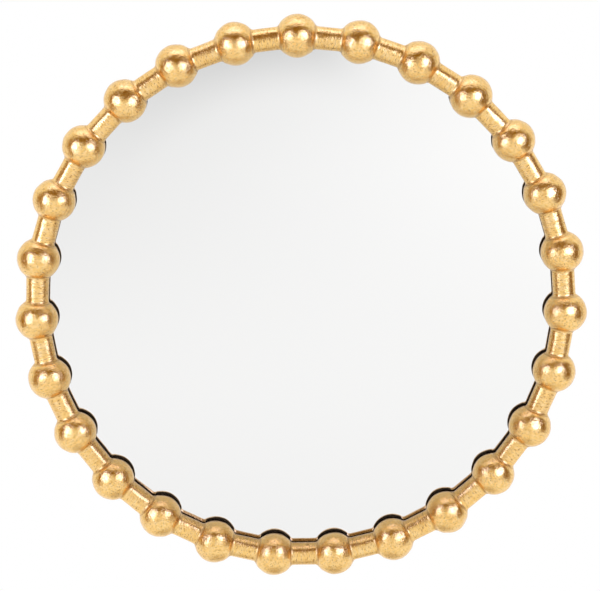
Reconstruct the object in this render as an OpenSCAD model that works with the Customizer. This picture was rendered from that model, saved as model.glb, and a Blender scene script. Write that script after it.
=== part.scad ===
// Round wall mirror in a ring of turned beads and short spindles.
// Millimetres, +Z up. The mirror faces -Y and hangs on a wall at y = 0.
// The origin is the middle of the ring, on the wall.

/* [Ring] */
// Radius of the circle through the middles of the beads
ring_radius = 352; // [335:1:370]
// Number of beads, and of the spindles between them
bead_count = 27; // [26:1:28]

/* [Beads] */
// Radius of a bead at its crown, measured from its own dowel axis
bead_crown = 29.1; // [27.5:0.1:30.5]
// Radius of the round outline that a bead is turned to
bead_outline = 27.1; // [26:0.1:28.5]

/* [Spindles] */
// Radius of a spindle at its middle
spindle_radius = 15.4; // [13:0.1:17]
// Radius of the hollow fillet where a spindle meets a bead
cove_radius = 5; // [3:0.5:7]

/* [Dowels] */
// Radius of the dowels that join the beads and spindles
dowel_radius = 5; // [4:0.1:6]
// How deep a dowel goes into each bead
dowel_depth = 12; // [8:0.5:14]
// Spare depth at the end of a dowel's hole
dowel_spare = 1; // [0.5:0.1:1.5]
// Room for glue all round a dowel and at the end of a spindle
glue_gap = 0.05; // [0.02:0.01:0.1]

/* [Glass] */
// Thickness of the mirror glass
glass_thick = 4; // [3:0.5:6]
// How far the front of the glass lies behind the middles of the beads
glass_set = 7.5; // [5:0.5:10]
// How far the edge of the glass runs in behind the spindles
glass_cover = 5.3; // [4.5:0.1:6]
// Room round the edge of the glass in its rebate
glass_room = 0.8; // [0.5:0.1:0.9]
// Width of the small ground flat on each edge of the glass
glass_arris = 0.6; // [0.3:0.1:1]
// Thickness of the foam strip behind the glass, pressed
foam_thick = 3; // [2:0.5:4]
// Width of the foam strip
foam_width = 14; // [8:1:20]

/* [Backing board] */
// Thickness of the backing board
board_thick = 9; // [8.5:0.5:12]
// How far the board reaches out past the middles of the beads
board_reach = 5; // [2:0.5:8]
// Width of the slope on the board's outer edge
board_slope = 1.5; // [0.5:0.5:3]

/* [Bead screws] */
// How far in from the middles of the beads the screws stand
screw_inset = 5; // [4:0.5:6]
// Radius of a screw's shank
screw_radius = 2; // [1.5:0.1:2.5]
// Radius of a screw's countersunk head
screw_head_radius = 4; // [3.5:0.1:5]
// Length of a screw, head included
screw_length = 21; // [16:1:23]
// Room round a screw in its holes
screw_room = 0.1; // [0.05:0.05:0.2]
// Spare depth at the end of a screw's hole
screw_spare = 1; // [0.5:0.5:1.5]
// Depth of the cross recess in a screw's head
recess_depth = 1.6; // [1:0.1:1.9]
// Width of each arm of the cross recess
recess_arm = 1; // [0.6:0.1:1.4]

/* [Wall pads] */
// Thickness of a rubber pad, which sets the board off the wall
pad_thick = 8; // [7:0.5:12]
// Radius of a pad's face on the wall
pad_face = 9; // [6:0.5:10]
// How much wider a pad is at the board
pad_flare = 1.5; // [0.5:0.5:3]
// Distance of the pads from the ring's middle lines, sideways and up
pad_spread = 228; // [200:1:235]

/* [Hangers] */
// Distance between the two hangers
hanger_spacing = 400; // [300:1:410]
// Height of the hangers' hinge line above the ring's middle
hanger_height = 170; // [120:1:185]
// Width of a hanger strap
strap_width = 12; // [9:0.5:14]
// Thickness of the strap's steel
strap_thick = 1.2; // [0.8:0.1:1.5]
// Length of the folded strap below its hinge line
strap_length = 15.5; // [14.5:0.5:16]
// Gap between the two folded leaves of a strap
leaf_gap = 0.2; // [0.1:0.05:0.3]
// Middle radius of the bend that brings the strap's upper leaf down
bend_radius = 1.2; // [0.9:0.1:1.5]
// Height of a strap screw's hole above the strap's lower end
strap_hole_up = 6; // [5:0.5:6.5]

/* [Hanger rings] */
// Radius of the wire that a hanger ring is bent from
wire_radius = 1.5; // [1.2:0.1:1.8]
// Clear width inside a ring
ring_width = 22; // [18:0.5:26]
// Length of the straight legs of a ring
leg_length = 10; // [9:0.5:12]
// Middle radius of the bend between a ring's bar and its legs
corner_radius = 3.5; // [2.5:0.1:4]
// Running room between a ring's bar and its strap
hinge_room = 0.06; // [0.03:0.01:0.09]

/* [Hanger screws] */
// Radius of a hanger screw's shank
pan_radius = 1.75; // [1.5:0.05:2]
// Radius of a hanger screw's round head
pan_head_radius = 3.5; // [3:0.1:4]
// Height of a hanger screw's round head
pan_head_height = 2.2; // [1.6:0.1:2.6]
// How deep a hanger screw goes into the board
pan_bite = 7; // [5:0.5:7.5]
// Spare depth at the end of a hanger screw's hole
pan_spare = 0.5; // [0.3:0.1:0.8]

/* [Hidden] */
$fn = 96;
bead_names = [for (i = [1 : bead_count]) str("bead_", i < 10 ? "0" : "", i)];

gold = [0.83, 0.62, 0.3];
bare_wood = [0.8, 0.66, 0.48];
silver = [0.86, 0.88, 0.9];
foam_grey = [0.75, 0.75, 0.75];
black_paint = [0.12, 0.11, 0.1];
zinc = [0.72, 0.72, 0.74];
brass = [0.78, 0.66, 0.38];
rubber = [0.2, 0.2, 0.2];

// Long enough to cut right through any piece
through = 200;
// How far outside a face a blind or sloped cutter starts
cut_outside = 1;
// Straight parts that a bead's outline is turned in, from pole to pole
outline_parts = 37;
step = 360 / bead_count;
half_step = step / 2;

// From the wall to the front, all along -Y
board_back = -pad_thick;
board_front = board_back - board_thick;
glass_back = board_front - foam_thick;
glass_front = glass_back - glass_thick;
bead_middle = glass_front - glass_set;

// The cove touches the bead's outline and the spindle's side
crown_shift = bead_crown - bead_outline;
cove_out = spindle_radius + cove_radius;
cove_along = sqrt(pow(bead_outline + cove_radius, 2) - pow(cove_out - crown_shift, 2));
touch = bead_outline / (bead_outline + cove_radius);
seat_radius = crown_shift + touch * (cove_out - crown_shift);
seat_along = touch * cove_along;

// A spindle fills the straight line between two beads' seats
chord = 2 * ring_radius * sin(half_step);
chord_out = ring_radius * cos(half_step);
spindle_half = chord / 2 - seat_along - glue_gap;
dowel_half = chord / 2 - seat_along + dowel_depth;

glass_radius = chord_out - spindle_radius + glass_cover;
rebate_radius = glass_radius + glass_room;
board_radius = ring_radius + board_reach;
screw_out = ring_radius - screw_inset;

// The strap's curl round the ring's bar
curl_inner = wire_radius + hinge_room;
curl_outer = curl_inner + strap_thick;
curl_middle = curl_inner + strap_thick / 2;
hinge_out = board_back + curl_outer;
leaf_top = 2 * strap_thick + leaf_gap;
leaf_middle = leaf_top - strap_thick / 2;
bend_up = leaf_middle + bend_radius;
bend_along = sqrt(pow(curl_middle + bend_radius, 2) - pow(bend_up - curl_outer, 2));
bend_angle = atan2(bend_up - curl_outer, bend_along);
strap_hole_along = strap_length - strap_hole_up;
leg_out = ring_width / 2 + wire_radius;

// Puts what is drawn at the ring's top, seen along +Y, at a number of steps clockwise
module at_step(steps) {
    rotate([0, steps * step, 0]) children();
}

// The rebate for the glass, and the flat that the board lies on
module back_cuts() {
    rotate([90, 0, 0]) translate([0, 0, -board_front]) {
        translate([0, 0, -through]) cylinder(r = ring_radius + through, h = through, $fn = 180);
        cylinder(r = rebate_radius, h = board_front - glass_front, $fn = 180);
    }
}

// The turned outline of a bead, from its axis out round the crown and back
module bead_outline_2d() {
    pole = acos(-crown_shift / bead_outline);
    polygon([for (i = [0 : outline_parts])
        let (angle = pole * (2 * i / outline_parts - 1))
        [max(0, crown_shift + bead_outline * cos(angle)), bead_outline * sin(angle)]]);
}

// One side of a bead: the flat that a spindle seats on, and the hole for its dowel
module bead_seat() {
    rotate([0, half_step, 0]) {
        translate([seat_along, -through / 2, -through / 2]) cube(through);
        translate([seat_along - dowel_depth - dowel_spare, 0, 0]) rotate([0, 90, 0])
            cylinder(r = dowel_radius + glue_gap, h = through);
    }
}

module bead(index) {
    color(gold) difference() {
        at_step(index) translate([0, bead_middle, ring_radius]) difference() {
            rotate([0, 90, 0]) rotate_extrude() bead_outline_2d();
            bead_seat();
            mirror([1, 0, 0]) bead_seat();
        }
        back_cuts();
        at_step(index) translate([0, board_back, screw_out]) rotate([90, 0, 0])
            cylinder(r = screw_radius + screw_room, h = screw_length + screw_spare);
    }
}

// Half of a spindle's outline, with the cove that runs out to the bead
module spindle_outline_2d() {
    square([spindle_radius, spindle_half]);
    difference() {
        translate([0, spindle_half - cove_along + seat_along])
            square([seat_radius, cove_along - seat_along]);
        translate([cove_out, spindle_half - cove_along + seat_along]) circle(r = cove_radius);
    }
}

module spindle() {
    rotate([0, 90, 0]) difference() {
        rotate_extrude() union() {
            spindle_outline_2d();
            mirror([0, 1]) spindle_outline_2d();
        }
        cylinder(r = dowel_radius + glue_gap, h = through, center = true);
    }
}

module spindles() {
    color(gold) for (i = [0 : bead_count - 1]) difference() {
        at_step(i + 0.5) translate([0, bead_middle, chord_out]) spindle();
        back_cuts();
    }
}

module dowels() {
    color(bare_wood) for (i = [0 : bead_count - 1])
        at_step(i + 0.5) translate([0, bead_middle, chord_out]) rotate([0, 90, 0])
            cylinder(r = dowel_radius, h = 2 * dowel_half, center = true);
}

// A round sheet with both its edges ground to a small slope
module ground_sheet(radius, thick, arris) {
    rotate_extrude($fn = 180) polygon([
        [0, 0], [radius - arris, 0], [radius, arris],
        [radius, thick - arris], [radius - arris, thick], [0, thick]]);
}

module mirror_glass() {
    color(silver) translate([0, glass_back, 0]) rotate([90, 0, 0])
        ground_sheet(glass_radius, glass_thick, glass_arris);
}

module foam_strip() {
    color(foam_grey) translate([0, board_front, 0]) rotate([90, 0, 0]) difference() {
        cylinder(r = glass_radius, h = foam_thick, $fn = 180);
        translate([0, 0, -through / 2])
            cylinder(r = glass_radius - foam_width, h = through, $fn = 180);
    }
}

// A countersunk head's cone and shank, from its flat face down. The cutter for its hole has
// room all round, and its cone starts outside the board, to open the face that it is sunk in
module countersunk(room = 0, outside = 0) {
    slope = screw_head_radius - screw_radius;
    translate([0, 0, -outside]) cylinder(
        r1 = screw_head_radius + room + outside, r2 = screw_radius + room, h = slope + outside);
    cylinder(r = screw_radius + room, h = screw_length);
}

module backing_board() {
    color(black_paint) difference() {
        translate([0, board_back, 0]) rotate([90, 0, 0]) rotate_extrude($fn = 180) polygon([
            [0, 0], [board_radius - board_slope, 0], [board_radius, board_slope],
            [board_radius, board_thick], [0, board_thick]]);
        for (i = [0 : bead_count - 1])
            at_step(i) translate([0, board_back, screw_out]) rotate([90, 0, 0])
                countersunk(screw_room, cut_outside);
        for (side = [-1, 1])
            translate([side * hanger_spacing / 2, board_back, hanger_height - strap_hole_along])
                rotate([90, 0, 0]) translate([0, 0, -cut_outside]) cylinder(
                    r = pan_radius + screw_room, h = cut_outside + pan_bite + pan_spare);
    }
}

// The cross that a driver fits, sunk in a screw's head
module cross_recess(radius) {
    for (turn = [0, 90])
        rotate([0, 0, turn]) translate([-radius * 0.6, -recess_arm / 2, -through])
            cube([radius * 1.2, recess_arm, through + recess_depth]);
}

module bead_screws() {
    color(zinc) for (i = [0 : bead_count - 1])
        at_step(i) translate([0, board_back, screw_out]) rotate([90, 0, 0]) difference() {
            countersunk();
            cross_recess(screw_head_radius);
        }
}

// The strap's closed curl and its two leaves, seen from the edge: x runs down the
// strap and y off the board
module strap_fold_2d() {
    translate([0, curl_outer]) difference() {
        circle(r = curl_outer);
        circle(r = curl_inner);
    }
    intersection() {
        translate([bend_along, bend_up]) difference() {
            circle(r = bend_radius + strap_thick / 2);
            circle(r = bend_radius - strap_thick / 2);
        }
        translate([bend_along, bend_up]) polygon([[0, 0], [0, -through],
            [-through, -through], [-through * cos(bend_angle), -through * sin(bend_angle)]]);
    }
    square([strap_length, strap_thick]);
    translate([bend_along, strap_thick + leaf_gap])
        square([strap_length - bend_along, strap_thick]);
}

// The strap's outline seen from the back, with a round lower end
module strap_plan_2d() {
    translate([-strap_width / 2, strap_width / 2 - strap_length])
        square([strap_width, strap_length + curl_outer]);
    translate([0, strap_width / 2 - strap_length]) circle(r = strap_width / 2);
}

module hanger_strap(side) {
    color(zinc) translate([side * hanger_spacing / 2, board_back, hanger_height]) difference() {
        intersection() {
            translate([-strap_width / 2, 0, 0]) rotate([0, 90, 0])
                linear_extrude(strap_width) strap_fold_2d();
            rotate([90, 0, 0]) linear_extrude(through, center = true) strap_plan_2d();
        }
        translate([0, 0, -strap_hole_along]) rotate([90, 0, 0])
            cylinder(r = pan_radius + screw_room, h = through, center = true);
    }
}

// A quarter or half turn of wire in the plane y = 0, about the origin
module wire_bend(middle_radius, from_angle, turn) {
    rotate([90, 0, 0]) rotate([0, 0, from_angle])
        rotate_extrude(angle = turn) translate([middle_radius, 0]) circle(r = wire_radius);
}

// A ring hangs straight down from its bar, which lies in the strap's curl
module hanger_ring(side) {
    bar_half = leg_out - corner_radius;
    bow_down = corner_radius + leg_length;
    color(brass) translate([side * hanger_spacing / 2, hinge_out, hanger_height]) {
        rotate([0, 90, 0]) cylinder(r = wire_radius, h = 2 * bar_half, center = true);
        translate([bar_half, 0, -corner_radius]) wire_bend(corner_radius, 0, 90);
        translate([-bar_half, 0, -corner_radius]) wire_bend(corner_radius, 90, 90);
        for (leg = [-leg_out, leg_out])
            translate([leg, 0, -bow_down]) cylinder(r = wire_radius, h = leg_length);
        translate([0, 0, -bow_down]) wire_bend(leg_out, 180, 180);
    }
}

// A round-headed screw, its head standing on the strap
module hanger_screws() {
    dome_radius = (pow(pan_head_radius, 2) + pow(pan_head_height, 2)) / (2 * pan_head_height);
    color(zinc) for (side = [-1, 1])
        translate([side * hanger_spacing / 2, board_back + leaf_top, hanger_height - strap_hole_along])
            rotate([-90, 0, 0]) difference() {
                union() {
                    intersection() {
                        translate([0, 0, pan_head_height - dome_radius]) sphere(r = dome_radius);
                        cylinder(r = pan_head_radius + 1, h = through);
                    }
                    translate([0, 0, -leaf_top - pan_bite])
                        cylinder(r = pan_radius, h = leaf_top + pan_bite + pan_head_height / 2);
                }
                translate([0, 0, pan_head_height]) mirror([0, 0, 1]) cross_recess(pan_head_radius);
            }
}

module wall_pads() {
    color(rubber) for (x = [-pad_spread, pad_spread], z = [-pad_spread, pad_spread])
        translate([x, 0, z]) rotate([90, 0, 0])
            cylinder(r1 = pad_face, r2 = pad_face + pad_flare, h = pad_thick);
}

for (i = [0 : bead_count - 1])
    bead(i);
spindles();
dowels();
mirror_glass();
foam_strip();
backing_board();
bead_screws();
hanger_strap(-1);  // hanger_strap_left
hanger_strap(1);  // hanger_strap_right
hanger_ring(-1);  // hanger_ring_left
hanger_ring(1);  // hanger_ring_right
hanger_screws();
wall_pads();
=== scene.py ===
import math

import bmesh
import bpy
from mathutils import Matrix, Vector


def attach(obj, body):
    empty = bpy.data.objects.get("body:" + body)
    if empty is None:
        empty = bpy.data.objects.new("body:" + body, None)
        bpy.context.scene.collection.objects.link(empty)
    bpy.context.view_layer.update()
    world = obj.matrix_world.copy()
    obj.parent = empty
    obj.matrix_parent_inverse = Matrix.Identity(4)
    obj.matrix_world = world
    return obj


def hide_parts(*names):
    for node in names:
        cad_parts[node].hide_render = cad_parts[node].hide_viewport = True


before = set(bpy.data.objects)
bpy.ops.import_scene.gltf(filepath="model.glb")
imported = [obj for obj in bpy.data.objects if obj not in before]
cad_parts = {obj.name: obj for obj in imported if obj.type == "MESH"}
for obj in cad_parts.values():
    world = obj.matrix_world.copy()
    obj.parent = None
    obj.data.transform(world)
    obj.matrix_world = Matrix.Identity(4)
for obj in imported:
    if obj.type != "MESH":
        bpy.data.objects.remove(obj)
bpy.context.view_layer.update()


# ---- Camera ---------------------------------------------------------------------------------
# A long lens 3.5 m from the beads, 11 degrees above them and square to the ring, as in the
# photograph. The picture is turned by less than one degree.
AIM = Vector((-0.0010, -0.0315, 0.0068))
CAMERA_DISTANCE = 3.50
CAMERA_RISE = math.radians(11.37)
CAMERA_ROLL = math.radians(-0.787)
SENSOR_WIDTH = 36
PICTURE_WIDTH = 600
LENS_IN_PIXELS = 2635

to_camera = Vector((0, -math.cos(CAMERA_RISE), math.sin(CAMERA_RISE)))
level_right = Vector((1, 0, 0))
level_up = to_camera.cross(level_right)
turned_right = level_right * math.cos(CAMERA_ROLL) + level_up * math.sin(CAMERA_ROLL)
turned_up = to_camera.cross(turned_right)
camera_data = bpy.data.cameras.new("camera")
camera_data.sensor_width = SENSOR_WIDTH
camera_data.lens = LENS_IN_PIXELS / PICTURE_WIDTH * SENSOR_WIDTH
camera = bpy.data.objects.new("camera", camera_data)
camera.matrix_world = Matrix.Translation(AIM + CAMERA_DISTANCE * to_camera) @ Matrix(
    (turned_right, turned_up, to_camera)).transposed().to_4x4()
bpy.context.scene.collection.objects.link(camera)
bpy.context.scene.camera = camera
bpy.context.scene.view_settings.view_transform = "Standard"


# ---- Studio ---------------------------------------------------------------------------------
# White all round for the camera. The gold shows a dim arch over the front, two soft boxes and a
# bank of light overhead, and the glass shows a pale room with a few soft shades in it.
class Wire:
    """A socket of a node tree that takes part in sums: an operator adds a Math node."""

    def __init__(self, tree, socket):
        self.tree, self.socket = tree, socket

    def math(self, operation, *others):
        """A Math node whose first term is this socket."""
        terms = dict(enumerate((self, *others)))
        return self.tree.node("ShaderNodeMath", {"operation": operation}, terms)

    def __add__(self, other):
        return self.math("ADD", other)

    def __sub__(self, other):
        return self.math("SUBTRACT", other)

    def __rsub__(self, other):
        return (self * -1) + other

    def __mul__(self, other):
        return self.math("MULTIPLY", other)

    def __truediv__(self, other):
        return self.math("DIVIDE", other)

    __radd__, __rmul__ = __add__, __mul__

    def other(self, name):
        """Another output of the node that this socket is on."""
        return Wire(self.tree, self.tree.find(self.socket.node.outputs, name))

    def between(self, low, high, start=0.0, end=1.0):
        """A smooth step from start at low to end at high."""
        return self.tree.node(
            "ShaderNodeMapRange", {"interpolation_type": "SMOOTHSTEP"},
            {"Value": self, "From Min": low, "From Max": high, "To Min": start, "To Max": end})


class Tree:
    """A node tree that is written as expressions."""

    def __init__(self, tree):
        self.tree = tree
        tree.nodes.clear()

    def find(self, sockets, key):
        """A socket by its number, identifier or name."""
        if isinstance(key, int):
            return sockets[key]
        return next(s for s in sockets if key in (s.identifier, s.name) and s.enabled)

    def node(self, kind, settings, inputs, out=0):
        """A node of that type: its settings are set first, then its sockets' values or links."""
        made = self.tree.nodes.new(kind)
        for key, value in settings.items():
            setattr(made, key, value)
        for key, value in inputs.items():
            socket = self.find(made.inputs, key)
            if isinstance(value, Wire):
                self.tree.links.new(value.socket, socket)
            else:
                socket.default_value = value
        return Wire(self, self.find(made.outputs, out)) if len(made.outputs) else made

    def mix(self, share, first, second):
        """A colour between two others."""
        pair = {key: (*c, 1) if isinstance(c, tuple) else c
                for key, c in (("A_Color", first), ("B_Color", second))}
        return self.node("ShaderNodeMix", {"data_type": "RGBA"},
                         {"Factor_Float": share, **pair}, "Result_Color")

    def split(self, vector):
        """The three parts of a vector."""
        x = self.node("ShaderNodeSeparateXYZ", {}, {0: vector}, "X")
        return x, x.other("Y"), x.other("Z")

    def join(self, x, y, z):
        """A vector from its three parts."""
        return self.node("ShaderNodeCombineXYZ", {}, {"X": x, "Y": y, "Z": z})

    def colour(self, red, green, blue):
        """A colour from its three parts."""
        return self.node("ShaderNodeCombineColor", {}, {"Red": red, "Green": green, "Blue": blue})

    def spot(self):
        """The place on a piece, in metres."""
        return self.node("ShaderNodeTexCoord", {}, {}, "Object")

    def noise(self, vector, scale, detail=2.0, rough=0.5):
        """Smooth noise from 0 to 1."""
        return self.node("ShaderNodeTexNoise", {}, {
            "Vector": vector, "Scale": scale, "Detail": detail, "Roughness": rough}, "Fac")

    def bump(self, height, distance=1.0):
        """A normal that leans with a height."""
        return self.node("ShaderNodeBump", {}, {
            "Strength": 1.0, "Distance": distance, "Height": height})


# Where each lamp is, what it faces, its width and height, its power and its colour
LAMPS = {
    "left_soft_box": ((-1.34, -1.26, 0.40), (0, 0, 0), (0.56, 1.15), 15.6, (0.43, 0.51, 1.0)),
    "right_soft_box": ((1.13, -1.38, 0.50), (0, 0, 0), (0.90, 0.95), 20.3, (0.43, 0.51, 1.0)),
    "overhead_bank": ((0.0, -0.10, 2.0), (0, -0.1, 0), (1.8, 0.8), 4.4, (0.90, 0.84, 1.6)),
}
for name, (place, towards, size, power, tint) in LAMPS.items():
    lamp = bpy.data.lights.new(name, "AREA")
    lamp.shape = "RECTANGLE"
    lamp.size, lamp.size_y = size
    lamp.energy = power
    lamp.color = tint
    lamp_object = bpy.data.objects.new(name, lamp)
    # The silver doesn't show the lamps, because their hard corners would stand in the glass
    lamp_object.visible_transmission = False
    lamp_object.location = place
    lamp_object.rotation_euler = (
        Vector(towards) - Vector(place)).to_track_quat("-Z", "Y").to_euler()
    bpy.context.scene.collection.objects.link(lamp_object)

world = bpy.data.worlds.new("studio")
bpy.context.scene.world = world
world.use_nodes = True
studio = Tree(world.node_tree)
side, depth, rise = studio.split(studio.node("ShaderNodeTexCoord", {}, {}, "Generated"))
ahead = depth * -1

# These are the parts of a direction from the mirror, so rise is the sine of its angle above level.
# The arch lies round a direction that points forwards and 30 degrees down.
ARCH_AXIS = math.radians(30)
ARCH_DIM = 0.78
BELOW_GAIN = 0.05
near_axis = ahead * math.cos(ARCH_AXIS) - rise * math.sin(ARCH_AXIS)
arch = near_axis.between(-0.20, -0.02) * near_axis.between(0.18, 0.65, 1, 0) \
    * rise.between(-0.10, 0.12)
all_round = 1.0 - arch * ARCH_DIM + rise.between(0.0, -0.5) * BELOW_GAIN

# What the glass shows in the photograph lies straight ahead, a little below level. It is a pale
# wall that is darker to the left, most of all high up, and at its highest and lowest.
GLASS_LEVEL = 0.953
SIDE_LIMIT = 0.11
SIDE_SLOPE, UPPER_SLOPE = 0.15, 1.55
UPPER_DIM, HIGHEST_DIM, LOWEST_DIM = 0.022, 0.055, 0.035
low_ahead = ahead.between(0.90, 0.95) * rise.between(0.0, -0.06)
tilt = side.math("MINIMUM", SIDE_LIMIT).math("MAXIMUM", -SIDE_LIMIT)
in_glass = GLASS_LEVEL + tilt * SIDE_SLOPE \
    + rise.between(-0.24, -0.07) * (tilt * UPPER_SLOPE - UPPER_DIM) \
    - rise.between(-0.155, -0.09) * HIGHEST_DIM - rise.between(-0.22, -0.31) * LOWEST_DIM

# A soft shade follows the ring at the upper left, round what the middle of the glass shows
MIDDLE_DROP = 0.197
RIM_DIM = 0.22
from_middle = (side * side + (rise + MIDDLE_DROP) * (rise + MIDDLE_DROP)).math("SQRT")
in_glass = in_glass - from_middle.between(0.072, 0.100) * from_middle.between(0.122, 0.102) \
    * side.between(0.036, 0.004) * side.between(-0.09, -0.005) \
    * rise.between(-0.19, -0.13) * RIM_DIM

# Where it is dim it is brown, as gold in gold shows, but for what the glass shows
GREEN_FALL, BLUE_FALL = 1.45, 3.4
glow = all_round * (1.0 - low_ahead) + in_glass * low_ahead
grey = studio.colour(glow, glow, glow)
brown = studio.colour(glow, glow.math("POWER", GREEN_FALL), glow.math("POWER", BLUE_FALL))
seen = studio.mix(low_ahead, brown, grey)

# The glass shows plain pale walls from every other side
WALL_LEVEL, WALL_DIM = 0.86, 0.10
walls = WALL_LEVEL - rise.between(0.0, 0.7) * WALL_DIM
camera_ray = studio.node("ShaderNodeLightPath", {}, {}, "Is Camera Ray")
by_glass = camera_ray.other("Is Transmission Ray")
mirrored = camera_ray.other("Is Glossy Ray").math("MAXIMUM", by_glass)
seen = studio.mix(by_glass, seen, studio.mix(low_ahead, studio.colour(walls, walls, walls), grey))
ROOM_LIGHT = 0.30
level = studio.mix(camera_ray, studio.mix(mirrored, (ROOM_LIGHT,) * 3, seen), (1.0, 1.0, 1.0))
background = studio.node("ShaderNodeBackground", {}, {"Color": level, "Strength": 1.0})
studio.node("ShaderNodeOutputWorld", {}, {"Surface": background})

# A round pale floor well under the mirror, which fades into the white
FLOOR_DROP = 1.25
FLOOR_RADIUS = 1.6
FADE_START = 0.8
FLOOR_TINT = (0.86, 0.84, 0.55, 1)
FLOOR_TO_CAMERA = (0.42,) * 3
FLOOR_IN_GLASS = (0.88,) * 3
FLOOR_IN_GOLD = 1.04
FLOOR_PAINTED_SHADOW = 0.40
FLOOR_SIDES = 96


def finish_material(name, values):
    """A material, its tree and its Principled BSDF, on whose sockets the values are set."""
    material = bpy.data.materials.new(name)
    material.use_nodes = True
    tree = Tree(material.node_tree)
    shader = tree.node("ShaderNodeBsdfPrincipled", {}, values)
    tree.node("ShaderNodeOutputMaterial", {}, {"Surface": shader})
    return material, tree, shader


def feed(shader, name, value):
    """Links a wire to one of a shader's inputs."""
    tree = shader.tree
    tree.tree.links.new(value.socket, tree.find(shader.socket.node.inputs, name))


floor_mesh = bpy.data.meshes.new("floor")
shape = bmesh.new()
bmesh.ops.create_circle(shape, cap_ends=True, segments=FLOOR_SIDES, radius=FLOOR_RADIUS)
bmesh.ops.translate(shape, vec=(0, 0, -FLOOR_DROP), verts=shape.verts)
shape.to_mesh(floor_mesh)
shape.free()
floor = bpy.data.objects.new("floor", floor_mesh)
bpy.context.scene.collection.objects.link(floor)
floor_paint, tree, shader = finish_material("pale_floor", {
    "Base Color": FLOOR_TINT, "Roughness": 0.9, "Emission Strength": 1.0})
out_from_middle = tree.node("ShaderNodeVectorMath", {"operation": "LENGTH"}, {
    0: tree.node("ShaderNodeVectorMath", {"operation": "MULTIPLY"},
                 {0: tree.spot(), 1: (1, 1, 0)})}, "Value")
feed(shader, "Alpha", out_from_middle.between(FADE_START, FLOOR_RADIUS - 0.02, 1, 0))
in_gold = tree.node("ShaderNodeLightPath", {}, {}, "Is Glossy Ray")
feed(shader, "Emission Color",
     tree.mix(in_gold.other("Is Camera Ray"), (0.0, 0.0, 0.0), FLOOR_TO_CAMERA))
# In the gold the floor glows bright, with a painted shadow of the mirror round its middle that is
# dimmer and browner
glow_with_painted_shadow = FLOOR_IN_GOLD - out_from_middle.between(FADE_START, 0.05) * FLOOR_PAINTED_SHADOW
glow_with_painted_shadow = tree.colour(glow_with_painted_shadow, glow_with_painted_shadow.math("POWER", 1.2), glow_with_painted_shadow.math("POWER", 1.5))
by_glass = in_gold.other("Is Transmission Ray")
glowing = tree.node("ShaderNodeEmission", {}, {"Color": tree.mix(by_glass, glow_with_painted_shadow, FLOOR_IN_GLASS)})
output = next(n for n in tree.tree.nodes if n.type == "OUTPUT_MATERIAL")
both = tree.node("ShaderNodeMixShader", {}, {
    0: in_gold.math("MAXIMUM", by_glass), 1: shader, 2: glowing})
tree.tree.links.new(both.socket, output.inputs["Surface"])
floor_mesh.materials.append(floor_paint)

# Dim flags stand between the soft boxes and at both sides. They only show in the gold, where
# their dim brown glow is a painted reflection, brown as gold in gold shows. Each has a corner, a
# way across, its width and height, how much of each edge fades (left, right, foot and head), and
# its light.
FLAG_PAINTED_REFLECTION = (0.30, 0.172, 0.036, 1)
FLAGS = {
    "front_flag": ((-0.72, -1.10, 0.23), (1, 0, 0), 1.04, 1.40, (0.24, 0.24, 0.55, 0.2), 0.95),
    "top_flag": ((-0.22, -0.55, 0.37), (1, 0, 0), 0.37, 0.60, (0.3, 0.3, 0.25, 0.3), 0.95),
    "left_flag": ((-1.35, -0.74, -0.95), (0, 1, 0), 0.84, 1.95, (0.22, 0.22, 0.3, 0.2), 1.25),
    "right_flag": ((1.35, -1.02, -0.95), (0, 1, 0), 1.20, 1.95, (0.20, 0.14, 0.3, 0.2), 0.85),
}
for name, (corner, across, width, height, fades, light) in FLAGS.items():
    start, step_across, step_up = Vector(corner), Vector(across) * width, Vector((0, 0, height))
    flag_mesh = bpy.data.meshes.new(name)
    flag_mesh.from_pydata([start, start + step_across, start + step_across + step_up,
                           start + step_up], [], [(0, 1, 2, 3)])
    corners = flag_mesh.uv_layers.new(name="UVMap")
    for loop, place in zip(corners.data, ((0, 0), (1, 0), (1, 1), (0, 1))):
        loop.uv = place
    # A glowing sheet: its brown glow is a painted reflection of dim gold in gold
    painted_reflection_sheet, tree, shader = finish_material(name, {
        "Base Color": (0, 0, 0, 1), "Specular IOR Level": 0.0, "Roughness": 1.0,
        "Emission Color": FLAG_PAINTED_REFLECTION, "Emission Strength": light})
    across_flag, up_flag, _ = tree.split(tree.node("ShaderNodeUVMap", {"uv_map": "UVMap"}, {}))
    by_glass = tree.node("ShaderNodeLightPath", {}, {}, "Is Transmission Ray")
    left, right, foot, head = fades
    feed(shader, "Alpha", across_flag.between(0, left) * up_flag.between(0, foot)
         * across_flag.between(1 - right, 1, 1, 0) * up_flag.between(1 - head, 1, 1, 0)
         * (1 - by_glass))
    flag_mesh.materials.append(painted_reflection_sheet)
    flag = bpy.data.objects.new(name, flag_mesh)
    flag.visible_camera = False
    flag.visible_diffuse = False
    bpy.context.scene.collection.objects.link(flag)


# ---- Beads ----------------------------------------------------------------------------------
# Turned beech beads, round at the front, flat where they lie on the board and stepped for the
# glass. They are primed with red bole, gilded with leaf by hand and painted black behind.
BEAD_COUNT = 27
RING_RADIUS = 0.352
BEAD_MIDDLE = -0.0315
BEAD_OUTLINE = 0.0271
CROWN_SHIFT = 0.0020
SEAT_ALONG = 0.02220
BOARD_FRONT = -0.017
GLASS_FRONT = -0.024
REBATE_RADIUS = 0.34032
DOWEL_HOLE = 0.00505
DOWEL_DEPTH = 0.013
SCREW_HOLE_OUT = 0.347
SCREW_HOLE = 0.0021
SCREW_HOLE_END = -0.030
STEP = math.tau / BEAD_COUNT
# The turned blank stays this far inside the model's bead, and cutters reach this far out of it
UNDER_CAD = 0.00003
FAR = 0.2
BEAD_PARTS, BEAD_AROUND = 72, 112
BORE_AROUND, SCREW_HOLE_AROUND, REBATE_AROUND = 32, 24, 360


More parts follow.
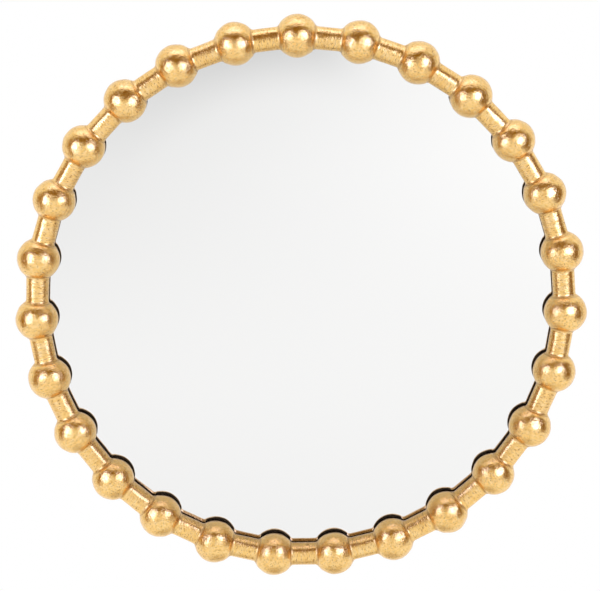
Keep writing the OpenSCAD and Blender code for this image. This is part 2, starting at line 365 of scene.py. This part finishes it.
def lathe(name, profile, around, axis="X"):
    """A closed mesh turned from (along, radius) pairs; a radius of zero closes an end."""
    points, faces, rows = [], [], []
    for along, radius in profile:
        if radius == 0:
            rows.append([len(points)] * around)
            points.append((along, 0.0, 0.0))
            continue
        rows.append([len(points) + i for i in range(around)])
        for i in range(around):
            turn = math.tau * i / around
            points.append((along, radius * math.cos(turn), radius * math.sin(turn)))
    for low, high in zip(rows, rows[1:]):
        for i in range(around):
            j = (i + 1) % around
            face = list(dict.fromkeys((low[i], low[j], high[j], high[i])))
            if len(face) > 2:
                faces.append(face)
    if axis == "Y":
        points = [(z, x, y) for x, y, z in points]
    mesh = bpy.data.meshes.new(name)
    mesh.from_pydata(points, [], faces)
    shape = bmesh.new()
    shape.from_mesh(mesh)
    bmesh.ops.recalc_face_normals(shape, faces=shape.faces)
    shape.to_mesh(mesh)
    shape.free()
    return mesh


def cutters(blocks, rods):
    """Boxes (matrix, size) and rods (matrix, radius, length from the origin along z, sides)."""
    shape = bmesh.new()
    for place, size in blocks:
        made = bmesh.ops.create_cube(shape, size=1)
        bmesh.ops.transform(shape, matrix=place @ Matrix.Diagonal((*size, 1)), verts=made["verts"])
    for place, radius, length, sides in rods:
        made = bmesh.ops.create_cone(shape, cap_ends=True, segments=sides, radius1=radius,
                                     radius2=radius, depth=length)
        bmesh.ops.transform(shape, matrix=place @ Matrix.Translation((0, 0, length / 2)),
                            verts=made["verts"])
    mesh = bpy.data.meshes.new("cutters")
    shape.to_mesh(mesh)
    shape.free()
    return mesh


def evaluated(holder):
    """The plain mesh that an object's modifiers make."""
    graph = bpy.context.evaluated_depsgraph_get()
    mesh = bpy.data.meshes.new_from_object(holder.evaluated_get(graph))
    holder.modifiers.clear()
    return mesh


def cut(mesh, tool_meshes):
    """The mesh with the cutters taken away, one after another."""
    scene = bpy.context.scene
    blank = bpy.data.objects.new("blank", mesh)
    scene.collection.objects.link(blank)
    tools = []
    for tool_mesh in tool_meshes:
        tool = bpy.data.objects.new("tool", tool_mesh)
        scene.collection.objects.link(tool)
        tools.append(tool)
        step = blank.modifiers.new("cut", "BOOLEAN")
        step.operation, step.solver, step.object = "DIFFERENCE", "EXACT", tool
    made = evaluated(blank)
    for used in (blank, *tools):
        bpy.data.objects.remove(used)
    made.materials.clear()
    return made


pole = math.acos(-CROWN_SHIFT / BEAD_OUTLINE)
profile = []
for i in range(BEAD_PARTS + 1):
    angle = pole * (2 * i / BEAD_PARTS - 1)
    radius = CROWN_SHIFT + BEAD_OUTLINE * math.cos(angle) - UNDER_CAD
    profile.append((BEAD_OUTLINE * math.sin(angle), radius if 0 < i < BEAD_PARTS else 0))
blank = lathe("bead_blank", profile, BEAD_AROUND)
seats, holes = [], []
for hand in (1, -1):
    lean = Matrix.Rotation(hand * STEP / 2, 4, "Y")
    seats.append((lean @ Matrix.Translation((hand * (SEAT_ALONG + FAR / 2), 0, 0)), (FAR,) * 3))
    start = Matrix.Translation((hand * (SEAT_ALONG - DOWEL_DEPTH), 0, 0))
    holes.append((lean @ start @ Matrix.Rotation(hand * math.pi / 2, 4, "Y"), DOWEL_HOLE, FAR,
                  BORE_AROUND))
rear = BOARD_FRONT - BEAD_MIDDLE
upright = Matrix.Rotation(-math.pi / 2, 4, "X")
rear_block = (Matrix.Translation((0, rear + FAR / 2, 0)), (FAR,) * 3)
rebate = (Matrix.Translation((0, GLASS_FRONT - BEAD_MIDDLE, -RING_RADIUS)) @ upright,
          REBATE_RADIUS, FAR, REBATE_AROUND)
screw_hole = (Matrix.Translation((0, SCREW_HOLE_END - BEAD_MIDDLE, SCREW_HOLE_OUT - RING_RADIUS))
              @ upright, SCREW_HOLE, FAR, SCREW_HOLE_AROUND)
bead_master = cut(blank, [cutters(seats, []), cutters([rear_block], []), cutters([], [rebate]),
                          cutters([], holes), cutters([], [screw_hole])])


# Colours of the leaf, of its painted shades towards the glass and at the joints, of the bole under
# it and of the paint behind. Then the sizes of what varies over the leaf, the depths of its marks,
# and how ragged and how blurred its end is.
LEAF_DEEP, LEAF_BRIGHT = (0.953, 0.600, 0.196), (0.983, 0.686, 0.300)
LEAF_DULL = (0.86, 0.48, 0.130)
LEAF_IN_PAINTED_SHADE = (0.43, 0.225, 0.060)
LEAF_IN_JOINT_SHADE = (0.64, 0.42, 0.16)
BOLE_IN_PITS, BOLE_WORN = (0.38, 0.18, 0.04), (0.46, 0.20, 0.06)
THIN_PAINT, THICK_PAINT = (0.14, 0.08, 0.028), (0.056, 0.036, 0.019)
PATCH, SHEEN, WEAR, WEAR_EDGE = 0.013, 0.0036, 0.030, 0.0030
DENT, HAMMER_MARK, GRAIN = 0.0085, 0.0034, 0.0016
DENT_DEPTH, HAMMER_DEPTH, GRAIN_DEPTH, PIT_DEPTH = 0.00034, 0.00026, 0.00036, 0.00003
PAINT_ROUGHNESS = 0.45
RAGGED, BLUR = 0.0030, 0.0010
DULL_SHARE, PIT_SHARE, WORN_SHARE, GLASS_EDGE_SHADE = 0.25, 0.70, 0.55, 0.8


def gilding(name, streak, satin, leaf_depth, lower_leaf, flank_shade_share):
    """Gold leaf on bole over gesso in front, brown-black paint behind. Streak under 1 draws the
    grain out across the ring, satin is the roughness of the leaf, leaf_depth how far behind the
    middle it ends, lower_leaf how much further at the bottom of the ring, and flank_shade_share
    how much painted shade darkens its side towards the glass."""
    material, tree, shader = finish_material(name, {
        "Specular IOR Level": 0.0, "Coat Roughness": 0.10})
    spot = tree.spot()
    x, y, z = tree.split(spot)
    out = (x * x + z * z).math("SQRT")
    around = x.math("ARCTAN2", z)
    unrolled = tree.join(around * RING_RADIUS, y * streak, out * streak)

    def noise(vector, size, detail=2.0, rough=0.5):
        """Noise with features of about that size in metres."""
        return tree.noise(vector, 1 / size, detail, rough)

    # Duller patches, a changing sheen, pits, and places worn through to the bole
    patches = noise(spot, PATCH, 3).between(0.40, 0.66)
    tone = noise(unrolled, SHEEN, 3, 0.65).between(0.34, 0.66)
    grain = noise(unrolled, GRAIN, 3, 0.65)
    pits = grain.between(0.54, 0.63)
    worn = noise(spot, WEAR).between(0.52, 0.70) \
        * noise(spot, WEAR_EDGE, 4, 0.7).between(0.56, 0.64)
    leaf = tree.mix(tone, LEAF_DEEP, LEAF_BRIGHT)
    leaf = tree.mix(patches * DULL_SHARE, leaf, LEAF_DULL)
    # Painted shade: the leaf is darkened brown on its side towards the glass, most of all low on
    # the ring, and most strongly from about its middle back to the glass
    flank = (out + noise(spot, 0.006) * 0.004).between(RING_RADIUS - 0.0010, RING_RADIUS - 0.0070)
    edge = (y - noise(spot, 0.005) * 0.004).between(BEAD_MIDDLE - 0.0075, BEAD_MIDDLE - 0.0015) \
        * out.between(RING_RADIUS, RING_RADIUS - 0.0080)
    low = z.between(0.05, -0.28, 0.35, 1.0)
    shade_towards_glass = (flank * (tone * 0.4 + 0.6) * low * flank_shade_share).math("MAXIMUM", edge * GLASS_EDGE_SHADE)
    leaf = tree.mix(shade_towards_glass, leaf, LEAF_IN_PAINTED_SHADE)
    leaf = tree.mix(pits * PIT_SHARE, leaf, BOLE_IN_PITS)
    leaf = tree.mix(worn * WORN_SHARE, leaf, BOLE_WORN)
    # The joints lie at one distance from the middle of each spindle; there the leaf is darkened
    # with painted shade in the cove, and is rougher
    turned = (around / STEP).math("FRACT") - 0.5
    along = ((turned * STEP).math("SINE") * out).math("ABSOLUTE")
    joint_shade = along.between(0.0150, 0.0180) * along.between(0.0188, 0.0206, 1, 0)
    leaf = tree.mix(joint_shade * (0.25 + tone * 0.3), leaf, LEAF_IN_JOINT_SHADE)
    # Behind its ragged end the paint is thin and bronze, and thick and black further back
    ragged = (noise(spot, 0.004, 4, 0.6) - 0.5) * RAGGED
    leaf_end = z.between(-0.20, -0.32) * lower_leaf + (BEAD_MIDDLE + leaf_depth)
    past = y + ragged - leaf_end
    behind = (past - (out - RING_RADIUS) * 0.08).between(-BLUR, BLUR)
    paint = tree.mix(past.between(-BLUR, 2 * BLUR), THIN_PAINT, THICK_PAINT)
    feed(shader, "Base Color", tree.mix(behind, leaf, paint))
    feed(shader, "Metallic", (1 - behind) * (1 - worn * 0.6))
    feed(shader, "Coat Weight", (1 - behind) * (1 - worn) * 0.08)
    feed(shader, "Roughness", (satin + 0.05 * tone + 0.12 * pits + 0.15 * worn + 0.12 * joint_shade)
         * (1 - behind) + PAINT_ROUGHNESS * behind)
    height = noise(spot, DENT) * DENT_DEPTH \
        + noise(unrolled, HAMMER_MARK, 2, 0.55) * HAMMER_DEPTH \
        + grain * GRAIN_DEPTH - pits * PIT_DEPTH
    feed(shader, "Normal", tree.bump(height))
    return material


bead_gold = gilding("gold_leaf_on_beads", streak=1.0, satin=0.15, leaf_depth=0.0024,
                    lower_leaf=0.0, flank_shade_share=0.2)


SMOOTH_UNDER = math.radians(40)


def geometry_tree(name, inputs):
    """A Geometry Nodes tree with those named inputs, and its wires by name."""
    group = bpy.data.node_groups.new(name, "GeometryNodeTree")
    tree = Tree(group)
    group.interface.new_socket("Geometry", in_out="INPUT", socket_type="NodeSocketGeometry")
    for key, kind in inputs.items():
        group.interface.new_socket(key, in_out="INPUT", socket_type="NodeSocket" + kind)
    group.interface.new_socket("Geometry", in_out="OUTPUT", socket_type="NodeSocketGeometry")
    first = tree.node("NodeGroupInput", {}, {}, "Geometry")
    return tree, first, {key: first.other(key) for key in inputs}


def close_tree(tree, geometry, material):
    """Ends a tree in plain geometry with its material."""
    plain = tree.node("GeometryNodeRealizeInstances", {}, {"Geometry": geometry})
    dressed = tree.node("GeometryNodeSetMaterial", {}, {"Geometry": plain, "Material": material})
    tree.node("NodeGroupOutput", {}, {"Geometry": dressed})


def build(name, tree, mesh, values):
    """An object whose mesh the tree makes from another mesh, at the origin."""
    made = bpy.data.objects.new(name, mesh)
    growth = made.modifiers.new("growth", "NODES")
    growth.node_group = tree.tree
    for item in tree.tree.interface.items_tree:
        if item.in_out == "INPUT" and item.name in values:
            growth[item.identifier] = values[item.name]
    bpy.context.scene.collection.objects.link(made)
    plain = evaluated(made)
    plain.name = name
    made.data = plain
    return made


def finished(piece, node):
    """Smooth faces, and its place among the model's pieces."""
    piece.data.shade_smooth()
    piece.data.set_sharp_from_angle(angle=SMOOTH_UNDER)
    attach(piece, "frame")
    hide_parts(node)


def seeded_noise(tree, vector, seed, scale, detail):
    """Smooth noise in a Geometry Nodes tree that is another for each seed."""
    return tree.node("ShaderNodeTexNoise", {"noise_dimensions": "4D"}, {
        "Vector": vector, "W": seed, "Scale": scale, "Detail": detail}, "Fac")


# Each bead is dented by hand between its seats, in front of the paint. Noise below UNDENTED
# leaves it as it was turned.
BEAD_DENTS = 0.0022
FIRST_SEED, SEED_STEP, SMALL_SEED = 5.0, 3.1, 31.7
BROAD_SCALE, SMALL_SCALE = 48.0, 130.0
UNDENTED = 0.30
tree, blank_in, given = geometry_tree("hand_worked_bead", {
    "Turn": "Float", "Seed": "Float", "Dents": "Float", "Out": "Float", "Forward": "Float",
    "Finish": "Material"})
local = tree.node("GeometryNodeInputPosition", {}, {})
local_x, local_y, local_z = tree.split(local)
broad = seeded_noise(tree, local, given["Seed"], BROAD_SCALE, 1.0)
small = seeded_noise(tree, local, given["Seed"] + SMALL_SEED, SMALL_SCALE, 1.0)
sunk = (broad * 0.75 + small * 0.25 - UNDENTED).math("MAXIMUM", 0.0)
sunk = sunk * given["Dents"] * local_y.between(0.005, 0.012, 1, 0) \
    * local_x.math("ABSOLUTE").between(0.0150, 0.0200, 1, 0)
inward = tree.node("ShaderNodeVectorMath", {"operation": "NORMALIZE"}, {
    0: tree.join(0.0, local_y * -1, local_z * -1)})
shift = tree.node("ShaderNodeVectorMath", {"operation": "SCALE"}, {0: inward, "Scale": sunk})
worked = tree.node("GeometryNodeSetPosition", {}, {"Geometry": blank_in, "Offset": shift})
placed = tree.node("GeometryNodeTransform", {}, {
    "Geometry": worked, "Translation": tree.join(0.0, given["Forward"], given["Out"])})
placed = tree.node("GeometryNodeTransform", {}, {
    "Geometry": placed, "Rotation": tree.join(0.0, given["Turn"], 0.0)})
close_tree(tree, placed, given["Finish"])

for index in range(BEAD_COUNT):
    bead = build(f"gilded_bead_{index + 1:02d}", tree, bead_master, {
        "Turn": index * STEP, "Seed": FIRST_SEED + SEED_STEP * index, "Dents": BEAD_DENTS,
        "Out": RING_RADIUS, "Forward": BEAD_MIDDLE, "Finish": bead_gold})
    finished(bead, f"bead_{index + 1:02d}")


# ---- Spindles -------------------------------------------------------------------------------
# Short turned spindles between the beads, with a small cove at each end, bored for a dowel.
# They are gilded with the beads, so the leaf runs over the joints in lengthwise wrinkles.
CHORD_OUT = RING_RADIUS * math.cos(STEP / 2)
SPINDLE_RADIUS = 0.0154
SPINDLE_HALF = 0.01861
COVE_RADIUS = 0.005
COVE_START = 0.01451

SUNK_END = 0.0004
COVE_RIM = 0.0015
COVE_PARTS, STRAIGHT_PARTS, SPINDLE_AROUND = 6, 12, 72
SPINDLE_DENTS, SPINDLE_SEED = 0.0014, 2.5
WAVE_SCALE, WAVE_STRETCH = 95.0, 0.35
half = [(SPINDLE_HALF + SUNK_END, 0.0), (SPINDLE_HALF + SUNK_END, SPINDLE_RADIUS + COVE_RIM)]
for i in range(COVE_PARTS, 0, -1):
    along = COVE_START + (SPINDLE_HALF - COVE_START) * i / COVE_PARTS
    hollow = math.sqrt(COVE_RADIUS ** 2 - (along - COVE_START) ** 2)
    half.append((along, SPINDLE_RADIUS + COVE_RADIUS - hollow))
for i in range(STRAIGHT_PARTS, 0, -1):
    half.append((COVE_START * i / STRAIGHT_PARTS, SPINDLE_RADIUS))
profile = [(-along, radius) for along, radius in half] + [(0, SPINDLE_RADIUS)] + half[::-1]
blank = lathe("spindle_blank", profile, SPINDLE_AROUND)
rebate_on_chord = (Matrix.Translation((0, GLASS_FRONT - BEAD_MIDDLE, -CHORD_OUT)) @ upright,
                   REBATE_RADIUS, FAR, REBATE_AROUND)
bore = (Matrix.Translation((-FAR / 2, 0, 0)) @ Matrix.Rotation(math.pi / 2, 4, "Y"),
        DOWEL_HOLE, FAR, BORE_AROUND)
spindle_master = cut(blank, [cutters([rear_block], []), cutters([], [rebate_on_chord]),
                             cutters([], [bore])])
spindle_gold = gilding("gold_leaf_on_spindles", streak=0.35, satin=0.23, leaf_depth=0.0034,
                       lower_leaf=0.0046, flank_shade_share=0.45)


def on_ring(tree, given, first_step):
    """Points round the ring and the angle of each, the first at that share of a step."""
    points = tree.node("GeometryNodePoints", {}, {"Count": given["Count"]})
    number = tree.node("GeometryNodeInputIndex", {}, {})
    angle = (number + first_step) * math.tau / given["Count"]
    place = tree.join(angle.math("SINE") * given["Out"], given["Forward"],
                      angle.math("COSINE") * given["Out"])
    return tree.node("GeometryNodeSetPosition", {}, {"Geometry": points, "Position": place}), angle


def copies(tree, points, piece, turn):
    """A copy of the piece on each point, turned about the y axis."""
    turn = tree.node("FunctionNodeEulerToRotation", {}, {0: tree.join(0.0, turn, 0.0)})
    return tree.node("GeometryNodeInstanceOnPoints", {}, {
        "Points": points, "Instance": piece, "Rotation": turn})


tree, blank_in, given = geometry_tree("ring_of_spindles", {
    "Count": "Int", "Out": "Float", "Forward": "Float", "Seed": "Float", "Dents": "Float",
    "Finish": "Material"})
points, angle = on_ring(tree, given, 0.5)
ring = copies(tree, points, blank_in, angle)
ring = tree.node("GeometryNodeRealizeInstances", {}, {"Geometry": ring})
ring_x, ring_y, ring_z = tree.split(tree.node("GeometryNodeInputPosition", {}, {}))
out = (ring_x * ring_x + ring_z * ring_z).math("SQRT")
arc = ring_x.math("ARCTAN2", ring_z) * given["Out"]
waves = seeded_noise(tree, tree.join(arc * WAVE_STRETCH, ring_y, out), given["Seed"],
                     WAVE_SCALE, 1.5)
sunk = (waves - UNDENTED).math("MAXIMUM", 0.0) * given["Dents"] \
    * (ring_y - given["Forward"]).between(0.004, 0.009, -1, 0)
normal = tree.node("GeometryNodeInputNormal", {}, {})
shift = tree.node("ShaderNodeVectorMath", {"operation": "SCALE"}, {0: normal, "Scale": sunk})
ring = tree.node("GeometryNodeSetPosition", {}, {"Geometry": ring, "Offset": shift})
close_tree(tree, ring, given["Finish"])
spindles = build("gilded_spindles", tree, spindle_master, {
    "Count": BEAD_COUNT, "Out": CHORD_OUT, "Forward": BEAD_MIDDLE, "Seed": SPINDLE_SEED,
    "Dents": SPINDLE_DENTS, "Finish": spindle_gold})
finished(spindles, "spindles")


# ---- Dowels ---------------------------------------------------------------------------------
# Plain beech dowels, glued through the spindles and into the bead at either end, so that they
# hold the ring together. None of them shows.
WOOD_DARK, WOOD_LIGHT = (0.62, 0.42, 0.24), (0.74, 0.55, 0.35)


def dress(nodes, material):
    """Gives CAD nodes a material."""
    for node in nodes:
        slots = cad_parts[node].data.materials
        slots.clear()
        slots.append(material)


beech, tree, shader = finish_material("bare_beech", {"Roughness": 0.6})
fibres = tree.noise(tree.spot(), 900.0, 3.0)
feed(shader, "Base Color", tree.mix(fibres, WOOD_DARK, WOOD_LIGHT))
dress(["dowels"], beech)


# ---- Mirror glass ---------------------------------------------------------------------------
# A round of 4 mm float glass with ground edges, silvered behind. What it mirrors comes back
# from the silver, and its own front face, tinted black, adds no second image to that.
GLASS_RADIUS = 0.33952
GLASS_BACK = -0.02005
ARRIS = 0.0006
GLASS_AROUND = 180
GLASS_IOR = 1.52

clear, tree, shader = finish_material("clear_glass", {
    "Base Color": (1.0, 1.0, 1.0, 1), "Roughness": 0.0, "IOR": GLASS_IOR,
    "Transmission Weight": 1.0, "Specular Tint": (0.0, 0.0, 0.0, 1)})
ground, tree, shader = finish_material("ground_glass_edge", {
    "Base Color": (0.80, 0.92, 0.86, 1), "IOR": GLASS_IOR, "Transmission Weight": 0.6})
feed(shader, "Roughness", tree.noise(tree.spot(), 2200.0).between(0.3, 0.7, 0.35, 0.6))
silver, tree, shader = finish_material("silvering", {
    "Base Color": (0.955, 0.955, 0.95, 1), "Metallic": 1.0, "Roughness": 0.0})

glass_mesh = lathe("silvered_glass", [
    (GLASS_BACK, 0), (GLASS_BACK, GLASS_RADIUS - ARRIS), (GLASS_BACK - ARRIS, GLASS_RADIUS),
    (GLASS_FRONT + ARRIS, GLASS_RADIUS), (GLASS_FRONT, GLASS_RADIUS - ARRIS), (GLASS_FRONT, 0)],
    GLASS_AROUND, "Y")
CLEAR, GROUND, SILVERED = range(3)
for part in (clear, ground, silver):
    glass_mesh.materials.append(part)
for face in glass_mesh.polygons:
    in_front = face.center.y < (GLASS_BACK + GLASS_FRONT) / 2
    if abs(face.normal.y) < 0.99:
        face.material_index = GROUND
    else:
        face.material_index = CLEAR if in_front else SILVERED
glass = bpy.data.objects.new("silvered_glass", glass_mesh)
bpy.context.scene.collection.objects.link(glass)
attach(glass, "frame")
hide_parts("mirror_glass")


# ---- Foam strip -----------------------------------------------------------------------------
# A strip of grey closed-cell foam, stuck to the board all round. It presses the glass forwards
# in its rebate, and the board hides it.
FOAM_DARK, FOAM_LIGHT = (0.45,) * 3, (0.62,) * 3
foam, tree, shader = finish_material("grey_foam", {"Roughness": 0.9})
cells = tree.node("ShaderNodeTexVoronoi", {}, {"Vector": tree.spot(), "Scale": 900.0}, "Distance")
feed(shader, "Base Color", tree.mix(cells, FOAM_DARK, FOAM_LIGHT))
feed(shader, "Normal", tree.bump(cells, 0.0003))
dress(["foam_strip"], foam)


# ---- Backing board --------------------------------------------------------------------------
# A round of fibreboard, sawn, with its rear edge sloped off, and painted matt black. The paint
# shows the rolled texture and a few rubbed places.
BLACK, WORN_BLACK, DUST = (0.014, 0.013, 0.012), (0.030, 0.028, 0.026), (0.20, 0.18, 0.16)
DUST_SHARE = 0.22
board, tree, shader = finish_material("black_board_paint", {"Specular IOR Level": 0.35})
spot = tree.spot()
rolled = tree.noise(spot, 420.0, 3.0)
cloud = tree.noise(spot, 9.0, 6.0)
dust = tree.noise(spot, 75.0, 5.0, 0.75)
dusty = dust.between(0.55, 0.75) * cloud.between(0.40, 0.62) * DUST_SHARE
paint = tree.mix(dusty, tree.mix(cloud.between(0.35, 0.7), BLACK, WORN_BLACK), DUST)
feed(shader, "Base Color", paint)
feed(shader, "Roughness", 0.45 + cloud * 0.25)
feed(shader, "Normal", tree.bump(rolled, 0.00025))
dress(["backing_board"], board)


# ---- Bead screws ----------------------------------------------------------------------------
# Countersunk steel screws, zinc plated, that hold the board to the beads. The cross in each
# head narrows as it goes in, and the screws were driven home by hand, each to its own turn.
BOARD_BACK = -0.008
SCREW_LENGTH = 0.021
HEAD_RADIUS = 0.0039
HEAD_EDGE = 0.0001
HEAD_DEPTH = 0.0021
SHANK_RADIUS = 0.0019
THREAD_ROOT = 0.0014
THREAD_START = 0.0075
THREAD_PITCH = 0.0013
THREADS = 8
CROSS_DEPTH = 0.0016
CROSS_ARM = 0.0010
CROSS_REACH = 1.2
SCREW_AROUND = 28


def plated(name, light, dark, roughness):
    """Plated steel with faint clouds and fine draw marks."""
    material, tree, shader = finish_material(name, {"Metallic": 1.0})
    spot = tree.spot()
    cloud = tree.noise(spot, 240.0, 4.0)
    fine = tree.noise(spot, 3000.0)
    feed(shader, "Base Color", tree.mix(cloud.between(0.3, 0.7), light, dark))
    feed(shader, "Roughness", roughness + cloud * 0.15)
    feed(shader, "Normal", tree.bump(fine, 0.00002))
    return material


def cross(top, reach, depth, arm):
    """The two wedges that cut a driver's cross into a head whose top is at that y."""
    mouth, foot_reach, foot_arm, above = 1.1, 0.5, 0.6, 0.2
    wedges = []
    for turn in (0, math.pi / 2):
        shape = bmesh.new()
        bmesh.ops.create_cube(shape, size=1)
        for corner in shape.verts:
            high = corner.co.y > 0
            corner.co.x *= reach * (mouth if high else foot_reach)
            corner.co.z *= arm * (mouth if high else foot_arm)
            corner.co.y = top + depth * (above if high else -1)
        bmesh.ops.rotate(shape, cent=(0, 0, 0), matrix=Matrix.Rotation(turn, 3, "Y"),
                         verts=shape.verts)
        wedges.append(bpy.data.meshes.new("wedge"))
        shape.to_mesh(wedges[-1])
        shape.free()
    return wedges


def random_turns(tree, given):
    """Another angle up to a quarter turn for each screw."""
    return tree.node("FunctionNodeRandomValue", {"data_type": "FLOAT"}, {
        "Min": 0.0, "Max": math.pi / 2, "Seed": given["Seed"]}, "Value")


zinc = plated("zinc_plate", light=(0.66, 0.67, 0.70), dark=(0.48, 0.49, 0.53), roughness=0.22)
profile = [(0, 0), (0, HEAD_RADIUS - HEAD_EDGE), (-HEAD_EDGE, HEAD_RADIUS),
           (-HEAD_DEPTH, SHANK_RADIUS)]
for i in range(THREADS):
    along = -THREAD_START - i * THREAD_PITCH
    profile += [(along, THREAD_ROOT if i else SHANK_RADIUS),
                (along - THREAD_PITCH * 0.5, SHANK_RADIUS)]
profile += [(-THREAD_START - THREADS * THREAD_PITCH, THREAD_ROOT), (-SCREW_LENGTH, 0)]
screw = cut(lathe("screw_blank", profile, SCREW_AROUND, "Y"),
            cross(0, HEAD_RADIUS * CROSS_REACH, CROSS_DEPTH, CROSS_ARM))

tree, screw_in, given = geometry_tree("ring_of_screws", {
    "Count": "Int", "Out": "Float", "Forward": "Float", "Seed": "Int", "Finish": "Material"})
points, angle = on_ring(tree, given, 0.0)
turned_screws = copies(tree, points, screw_in, random_turns(tree, given))
close_tree(tree, turned_screws, given["Finish"])
screws = build("countersunk_screws", tree, screw, {
    "Count": BEAD_COUNT, "Out": SCREW_HOLE_OUT, "Forward": BOARD_BACK, "Seed": 4,
    "Finish": zinc})
finished(screws, "bead_screws")


# ---- Hangers --------------------------------------------------------------------------------
# Two bent wire rings, each in the curl of a folded steel strap that one round-headed screw
# holds to the board. The straps and screws are zinc plated and the rings nickel plated.
HANGER_SPACING = 0.400
HANGER_SCREW_UP = 0.1605
STRAP_TOP = 0.0026
PAN_RADIUS = 0.00345
PAN_HEIGHT = 0.0022
PAN_SHANK = 0.0017
PAN_BITE = 0.007
PAN_POINT = 0.001
DOME_PARTS, PAN_AROUND = 10, 40

nickel = plated("nickel_plate", light=(0.74, 0.71, 0.65), dark=(0.62, 0.59, 0.53),
                roughness=0.12)
dress(["hanger_strap_left", "hanger_strap_right"], zinc)
dress(["hanger_ring_left", "hanger_ring_right"], nickel)

dome_radius = (PAN_RADIUS ** 2 + PAN_HEIGHT ** 2) / (2 * PAN_HEIGHT)
dome_half = math.asin(PAN_RADIUS / dome_radius)
profile = [(PAN_HEIGHT, 0)]
for i in range(1, DOME_PARTS + 1):
    angle = dome_half * i / DOME_PARTS
    profile.append((PAN_HEIGHT - dome_radius * (1 - math.cos(angle)),
                    dome_radius * math.sin(angle)))
profile += [(0.00001, PAN_SHANK), (-STRAP_TOP - PAN_BITE + PAN_POINT, PAN_SHANK),
            (-STRAP_TOP - PAN_BITE, 0)]
screw = cut(lathe("pan_blank", profile, PAN_AROUND, "Y"),
            cross(PAN_HEIGHT, PAN_RADIUS * CROSS_REACH, CROSS_DEPTH, CROSS_ARM))

pairs, piece_in, given = geometry_tree("rows_of_two", {
    "Count": "Int", "Across": "Float", "Up": "Float", "Low": "Float", "Forward": "Float",
    "Seed": "Int", "Finish": "Material"})
points = pairs.node("GeometryNodePoints", {}, {"Count": given["Count"]})
number = pairs.node("GeometryNodeInputIndex", {}, {})
place = pairs.join((number.math("MODULO", 2) - 0.5) * given["Across"], given["Forward"],
                   (number / 2).math("FLOOR") * given["Up"] + given["Low"])
points = pairs.node("GeometryNodeSetPosition", {}, {"Geometry": points, "Position": place})
close_tree(pairs, copies(pairs, points, piece_in, random_turns(pairs, given)), given["Finish"])
pans = build("round_headed_screws", pairs, screw, {
    "Count": 2, "Across": HANGER_SPACING, "Up": 0.0, "Low": HANGER_SCREW_UP,
    "Forward": BOARD_BACK + STRAP_TOP, "Seed": 9, "Finish": zinc})
finished(pans, "hanger_screws")


# ---- Wall pads ------------------------------------------------------------------------------
# Four moulded rubber pads, glued to the board. Each flares towards the board, and its rounded
# rim stands round a shallow dish on the wall side.
PAD_SPREAD = 0.228
PAD_FACE = 0.009
PAD_FOOT = 0.0105
PAD_AROUND = 64
RUBBER_BLACK, RUBBER_BLOOM = (0.040, 0.040, 0.040), (0.085, 0.084, 0.082)

rubber, tree, shader = finish_material("moulded_rubber", {"Roughness": 0.75})
bloom = tree.noise(tree.spot(), 180.0, 4.0)
feed(shader, "Base Color", tree.mix(bloom.between(0.4, 0.75), RUBBER_BLACK, RUBBER_BLOOM))
# Its foot on the board, its flare, its rounded rim on the wall and the dish inside the rim
pad = lathe("pad_blank", [
    (BOARD_BACK, 0), (BOARD_BACK, PAD_FOOT - 0.0003), (BOARD_BACK + 0.0003, PAD_FOOT - 0.0001),
    (-0.0010, PAD_FACE + 0.00015), (-0.0005, PAD_FACE - 0.0001), (-0.00015, PAD_FACE - 0.0005),
    (0, PAD_FACE - 0.0011), (0, PAD_FACE - 0.0024), (-0.0002, PAD_FACE - 0.0030),
    (-0.0008, PAD_FACE - 0.0036), (-0.0010, 0)], PAD_AROUND, "Y")
pads = build("rubber_pads", pairs, pad, {
    "Count": 4, "Across": 2 * PAD_SPREAD, "Up": 2 * PAD_SPREAD, "Low": -PAD_SPREAD,
    "Forward": 0.0, "Seed": 1, "Finish": rubber})
finished(pads, "wall_pads")
